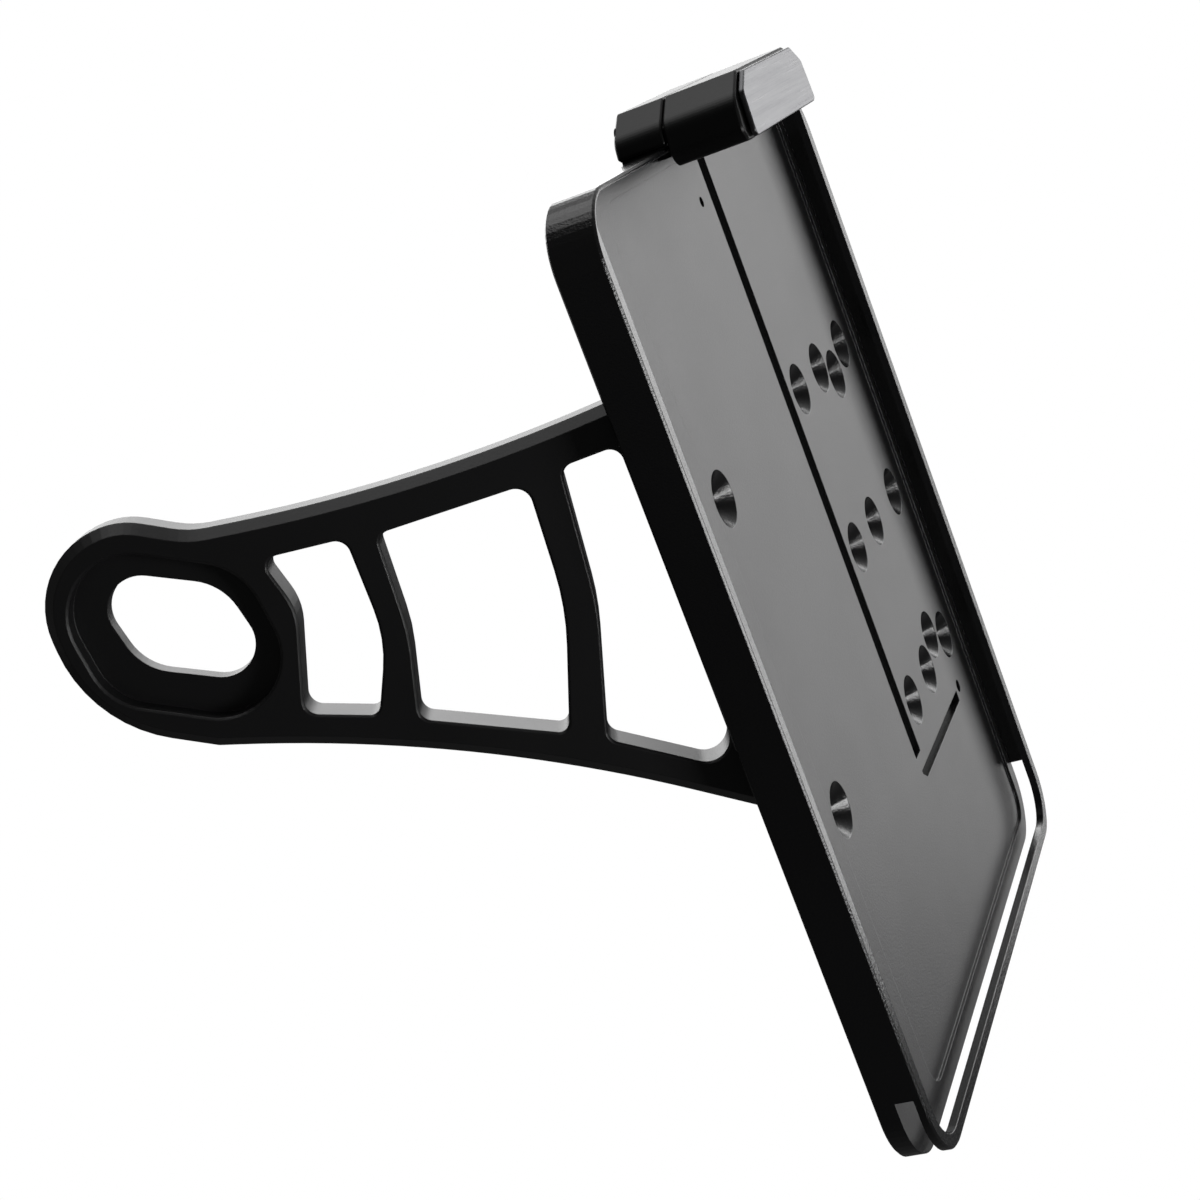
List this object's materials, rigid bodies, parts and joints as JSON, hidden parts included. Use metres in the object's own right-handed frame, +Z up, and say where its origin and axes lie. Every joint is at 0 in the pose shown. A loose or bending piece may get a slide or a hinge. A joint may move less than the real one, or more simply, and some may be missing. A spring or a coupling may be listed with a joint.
{
  "type": "side mount license plate holder",
  "caption": "Milled tray that a small number plate slides into from below, on a windowed side arm with an axle slot, with a light block over its top edge.",
  "frame": {"origin": "middle of the tray's back face", "axes": "+X across the plate, away from the arm; +Z up, towards the light; the plate faces -Y and the arm reaches towards +Y"},
  "size_m": [0.2164, 0.1556, 0.2327],
  "materials": {
    "tray_metal": "satin black anodised, milled",
    "arm_metal": "satin black anodised, milled",
    "light_metal": "black anodised",
    "end_plate_metal": "brushed",
    "seal_rubber": "matte",
    "lens_clear": "clear",
    "board_white": "matte",
    "lamp_yellow": "gloss",
    "screw_steel": "blackened"
  },
  "bodies": {
    "root": {"plate_frame": "tray_metal", "mount_arm": "arm_metal", "arm_screw_upper": "screw_steel", "arm_screw_lower": "screw_steel", "base_seal": "seal_rubber", "light_base": "light_metal", "housing_seal": "seal_rubber", "light_housing": "light_metal", "light_end_plate": "end_plate_metal", "light_lens": "lens_clear", "led_board": "board_white", "led_1": "lamp_yellow", "led_2": "lamp_yellow", "led_3": "lamp_yellow", "led_4": "lamp_yellow", "led_5": "lamp_yellow", "led_6": "lamp_yellow", "housing_screw_near": "screw_steel", "housing_screw_far": "screw_steel", "base_screw_near": "screw_steel", "base_screw_far": "screw_steel"}
  },
  "joints": []
}
